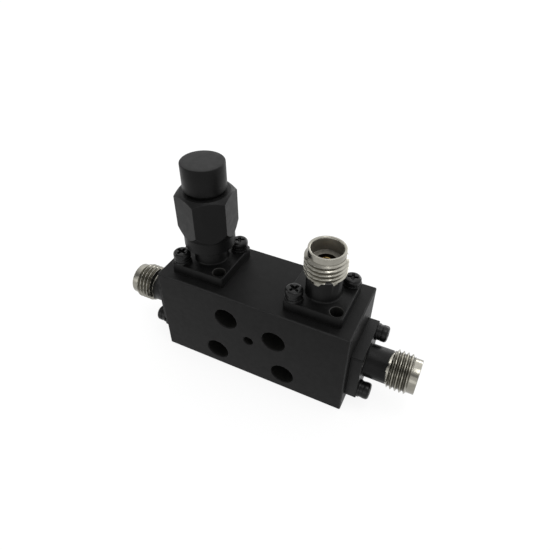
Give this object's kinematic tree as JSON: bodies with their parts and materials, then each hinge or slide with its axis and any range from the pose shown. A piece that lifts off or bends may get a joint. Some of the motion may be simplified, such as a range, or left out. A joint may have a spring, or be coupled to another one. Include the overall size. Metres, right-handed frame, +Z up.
{
  "type": "directional coupler",
  "caption": "Rectangular coaxial directional coupler with flanged threaded ports on its ends and top and a screw-on load closing a top port.",
  "frame": {"origin": "centre of the block's underside", "axes": "+X along the through line towards the right end port, +Y from the front face to the back, +Z up towards the top ports"},
  "size_m": [0.052, 0.0124, 0.0347],
  "materials": {
    "black_paint": "matte black paint",
    "screw_black": "satin black",
    "bare_steel": "turned stainless steel",
    "gold_plate": "gold plate",
    "silver_plate": "silver plate",
    "insulator": "plain",
    "gasket": "soft",
    "resistor": "plain"
  },
  "bodies": {
    "root": {"body_front": "black_paint", "body_rear": "black_paint", "clamp_screws": "black_paint", "coupling_nut": "black_paint", "load_body": "black_paint", "main_line": "silver_plate", "coupled_line": "silver_plate", "line_supports": "insulator", "retaining_ring": "bare_steel", "gasket": "gasket", "load_contact": "gold_plate", "load_bead": "insulator", "load_resistor": "resistor", "input_shell": "bare_steel", "input_bead": "insulator", "input_contact": "gold_plate", "input_screws": "screw_black", "input_spring_washers": "screw_black", "input_flat_washers": "screw_black", "output_shell": "bare_steel", "output_bead": "insulator", "output_contact": "gold_plate", "output_screws": "screw_black", "output_spring_washers": "screw_black", "output_flat_washers": "screw_black", "coupled_shell": "bare_steel", "coupled_bead": "insulator", "coupled_contact": "gold_plate", "coupled_screws": "screw_black", "coupled_flat_washers": "screw_black", "isolated_shell": "bare_steel", "isolated_bead": "insulator", "isolated_contact": "gold_plate", "isolated_screws": "screw_black", "isolated_spring_washers": "screw_black", "isolated_flat_washers": "screw_black", "coupled_spring_washer": "screw_black"}
  },
  "joints": []
}
